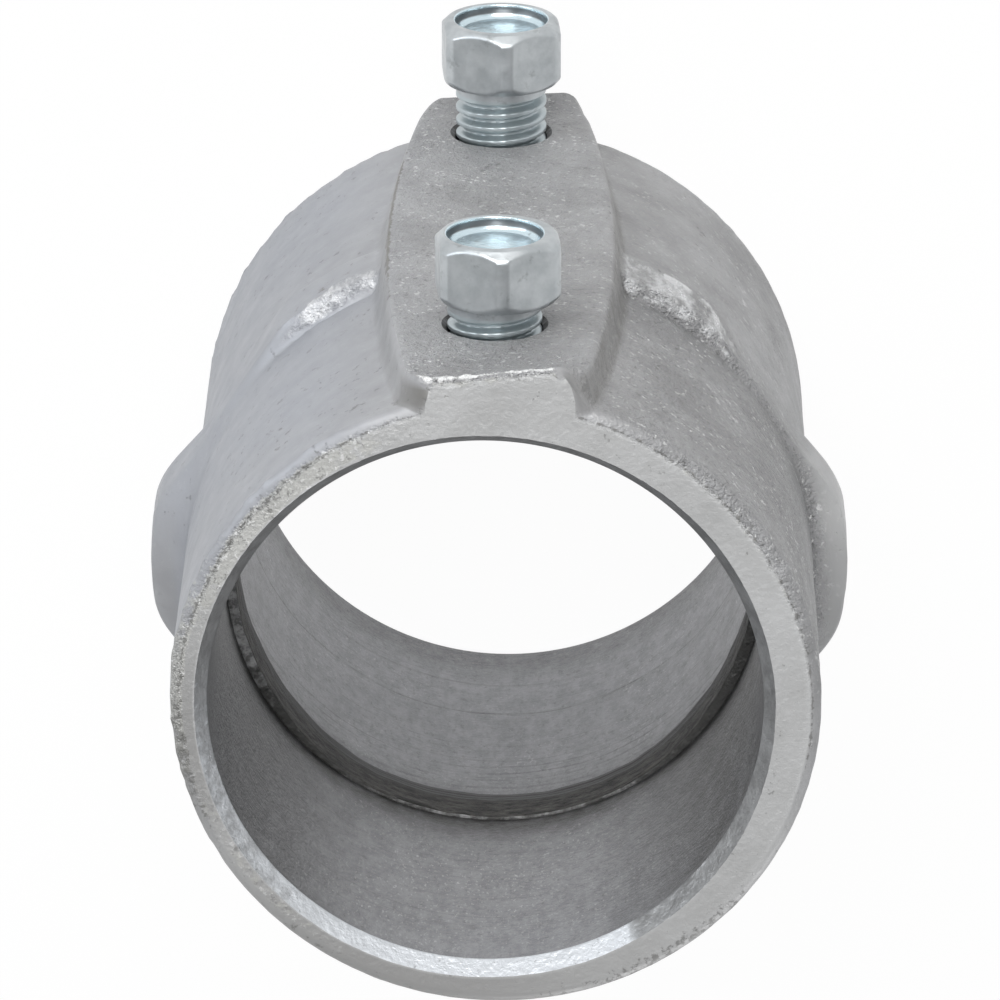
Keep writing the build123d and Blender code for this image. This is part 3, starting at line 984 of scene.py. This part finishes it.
def boredWall(name, lines, brightness):
    # a bored socket: mid grey with painted glints on its grains, fine rings left by the tool and,
    # where given, deeper scored lines, with painted shadow round the stop and painted shade at its
    # sides
    material, tree = newMaterial(name, 0.3, 0.42)
    dark, pale = [tuple(part * brightness for part in finishes[key])
                  for key in ("boreDark", "borePale")]
    ground(tree, patches(tree, (420, 6, 0.8, (1, 1, 0.6)), 0.4, 0.6), dark, pale)
    lay(tree, "pit", patches(tree, (1300, 4, 0.7, drawnOut), 0.57, 0.64), 0.3)
    # painted glints on the bore's grains
    grains = patches(tree, (2400, 3, 0.6, drawnOut), 0.6, 0.65)
    lay(tree, "glint", grains, patches(tree, (60, 3, 0.6), 0.42, 0.62, 0.1, 0.5))
    rings = cloud(tree, *toolRings)
    lay(tree, "pit", remap(tree, rings, 0.54, 0.7), 0.3)
    for depth, halfWidth, tone in lines:
        broken = patches(tree, (110, 4, 0.65), 0.4, 0.6)
        lay(tree, "grime", scoredLine(tree, depth, halfWidth), broken, tone)
    # painted shadow before and behind the stop, painted shade at the bore's sides, and darker near
    # its far end
    smear = patches(tree, (330, 5, 0.7), 0.3, 0.6, 0.6, 1.0)
    lay(tree, "grime", mark(tree, "grime"), smear)
    return finish(material, (
        (cloud(tree, 1300, 4, 0.6), 0.6, 0.0004), (rings, 0.3, 0.00012)))


def castStop():
    # the stop between the sockets: as cast and blackened, and turned where there is less grime
    material, tree = newMaterial("cast_stop", 0.1, 0.6)
    soot = patches(tree, (300, 6, 0.75, (1, 1, 3)), 0.42, 0.62)
    black = mixColour(tree, soot, "sootDark", "sootPale")
    turned = mixColour(tree, patches(tree, toolRings, 0.35, 0.6), "stopPale", "stopDark")
    share = ragged(tree, mark(tree, "grime"), 500, 0.3, 0.7, 0.5)
    ground(tree, share, turned, black)
    return finish(material, ((cloud(tree, 600, 5, 0.7), 0.8, 0.0006),))


def stopShoulder():
    # the stop's shoulder: black, partly dirt and partly painted shadow in its corner, with speckled
    # bare metal on its worn lip, painted lighter as a highlight where it catches the light
    material, tree = newMaterial("stop_shoulder", 0.3, 0.4)
    speckle = patches(tree, (700, 4, 0.7), 0.4, 0.56, 0.3, 1.0)
    # the worn lip as a painted highlight, on black that is partly painted shadow
    lip = times(tree, speckle, ragged(tree, mark(tree, "lip"), 420, 0.25, 0.6, 0.6))
    ground(tree, lip, "shoulderDark", "shoulderPale")
    return finish(material, ((cloud(tree, 900, 4, 0.7), 0.6, 0.0005),))


def brightZinc():
    # zinc plate on steel: bright, faintly blue in the thread and the dish, with small waves in it,
    # and a painted dark reflection round the top of the dish's wall
    material, tree = newMaterial("bright_zinc", 0.85, 0.3)
    dish = mark(tree, "dish")
    ground(tree, patches(tree, (260, 4), 0.35, 0.65), "zincDark", "zincPale")
    lay(tree, "zincBlue", dish, 0.85)
    lay(tree, "zincThread", mark(tree, "thread"), 0.5)
    lay(tree, "stain", patches(tree, (330, 4, 0.7), 0.6, 0.68), 0.35)
    # painted dark reflection round the top of the dish's wall
    lay(tree, "zincShade", mark(tree, "dishWall"), 0.8)
    gloss = sums(tree, "SUBTRACT", patches(tree, (500, 3), 0.3, 0.7, 0.28, 0.42),
                 times(tree, dish, 0.14))
    return finish(material, ((cloud(tree, 330, 3, 0.5), 0.3, 0.0004),), Roughness=gloss)


# one material for each of the bands
for surface in (castSkin(), turnedFace(), mouthBevel(), boredWall("front_bore", (), 1.0),
                castStop(), stopShoulder(), boredWall("rear_bore", rearBoreLines, 1.36)):
    bodyPiece.data.materials.append(surface)
zinc = brightZinc()
for piece in (frontScrew, rearScrew):
    piece.data.materials.append(zinc)
print("finishes made")

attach(bodyPiece, "body")
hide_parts("coupling_body")
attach(frontScrew, "front_screw")
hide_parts("front_set_screw")
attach(rearScrew, "rear_screw")
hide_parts("rear_set_screw")

studio = {
    "floorSize": 3.0,  # half its side, in metres
    "floorColour": (0.86, 0.86, 0.86),
    "seenWhite": 0.965,  # share of plain white that the camera sees in the floor
    "worldStrength": 0.4,
    "overhead": 0.45,  # how bright the room is overhead, where its sides are 1
    "cameraPlace": (-35.04, -523.41, 1377.26),
    "cameraTarget": (-2.3, -33.51, 66.18),
    "lens": 384.8,  # on a 36 mm wide sensor
}

# softboxes: name, place and size in metres, power in watts, colour
lamps = (
    ("over_screws", (0.10, -1.05, 0.80), (1.0, 0.6), 13.5, (1.0, 0.99, 0.97)),
    ("camera_side", (0.10, -0.50, 1.50), (0.7, 0.7), 8.5, (1.0, 1.0, 1.0)),
    ("left_of_picture", (1.05, -0.65, 0.45), (0.7, 0.8), 4.2, (0.88, 0.94, 1.0)),
    ("behind", (-0.45, 1.25, 0.20), (0.9, 0.9), 7.0, (1.0, 1.0, 1.0)),
)


def seenRays(tree):
    # 1 for rays that come from the camera, off gloss or through glass
    path = tree.nodes.new("ShaderNodeLightPath")
    total = sums(tree, "ADD", path.outputs["Is Camera Ray"], path.outputs["Is Glossy Ray"],
                 path.outputs["Is Transmission Ray"])
    return sums(tree, "MINIMUM", total, 1.0)


def buildStudio():
    scene = bpy.context.scene
    size = studio["floorSize"]
    floorZ = lowBody[2] * mm
    floorMesh = bpy.data.meshes.new("floor")
    corners = [(x * size, y * size, floorZ) for x, y in ((-1, -1), (1, -1), (1, 1), (-1, 1))]
    floorMesh.from_pydata(corners, [], [(0, 1, 2, 3)])
    floor = addObject("floor", floorMesh)
    material, tree = newMaterial("pale_floor", 0.0, 0.8)
    shader = tree.nodes["Principled BSDF"]
    feed(tree, shader.inputs["Base Color"], studio["floorColour"])
    blend = addNode(tree, "MixShader", "Shader", {
        "Fac": times(tree, seenRays(tree), studio["seenWhite"]),
        1: shader.outputs["BSDF"], 2: addNode(tree, "Emission", "Emission", {})})
    feed(tree, tree.nodes["Material Output"].inputs["Surface"], blend)
    floorMesh.materials.append(material)

    # the room: white round its sides and dimmer overhead; it is seen as it is, and lights at less
    world = bpy.data.worlds.new("studio")
    scene.world = world
    world.use_nodes = True
    tree = world.node_tree
    background = tree.nodes["Background"]
    direction = addNode(tree, "TexCoord", "Generated", {})
    height = addNode(tree, "SeparateXYZ", "Z", {"Vector": direction})
    room = remap(tree, height, 0.25, 0.75, 1.0, studio["overhead"])
    grey = mixColour(tree, room, (0.0, 0.0, 0.0), (1.0, 1.0, 1.0))
    strength = remap(tree, seenRays(tree), 0.0, 1.0, studio["worldStrength"], 1.0)
    feed(tree, background.inputs["Color"], grey)
    feed(tree, background.inputs["Strength"], strength)

    for name, place, extent, power, colour in lamps:
        lamp = bpy.data.lights.new(name, "AREA")
        lamp.shape = "RECTANGLE"
        lamp.size, lamp.size_y = extent
        lamp.energy = power
        lamp.color = colour
        holder = addObject(name, lamp)
        holder.location = place
        holder.rotation_euler = Vector(place).to_track_quat("Z", "Y").to_euler()


def buildCamera():
    scene = bpy.context.scene
    camera = bpy.data.cameras.new("camera")
    camera.sensor_fit = "HORIZONTAL"
    camera.sensor_width = 36.0
    camera.lens = studio["lens"]
    camera.clip_end = 20.0
    holder = addObject("camera", camera)
    place = Vector(studio["cameraPlace"]) * mm
    forward = (Vector(studio["cameraTarget"]) * mm - place).normalized()
    screwSide = Vector((0, -1, 0))  # which is the top of the picture
    right = forward.cross(screwSide).normalized()
    up = right.cross(forward)
    turned = Matrix((right, up, -forward)).transposed()
    holder.matrix_world = Matrix.Translation(place) @ turned.to_4x4()
    scene.camera = holder
    scene.view_settings.view_transform = "Standard"


buildStudio()
buildCamera()
print("studio and camera ready")
